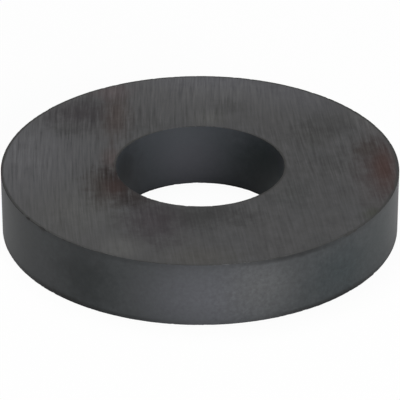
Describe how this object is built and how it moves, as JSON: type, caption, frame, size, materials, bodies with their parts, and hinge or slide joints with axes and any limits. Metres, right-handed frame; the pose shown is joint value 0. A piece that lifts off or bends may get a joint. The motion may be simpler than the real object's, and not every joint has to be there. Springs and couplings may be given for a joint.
{
  "type": "ring magnet",
  "caption": "Flat round ferrite ring magnet with a plain central through bore, ground pole faces and sharp edges.",
  "frame": {"origin": "centre of the bore at the lower pole face", "axes": "+Z along the bore axis, from the lower pole face to the upper one"},
  "size_m": [0.06, 0.06, 0.01],
  "materials": {
    "ferrite": "dark charcoal sintered ferrite, pole faces ground dull, rim and bore as fired with a soft satin sheen"
  },
  "bodies": {
    "root": {"ring_magnet": "ferrite"}
  },
  "joints": []
}
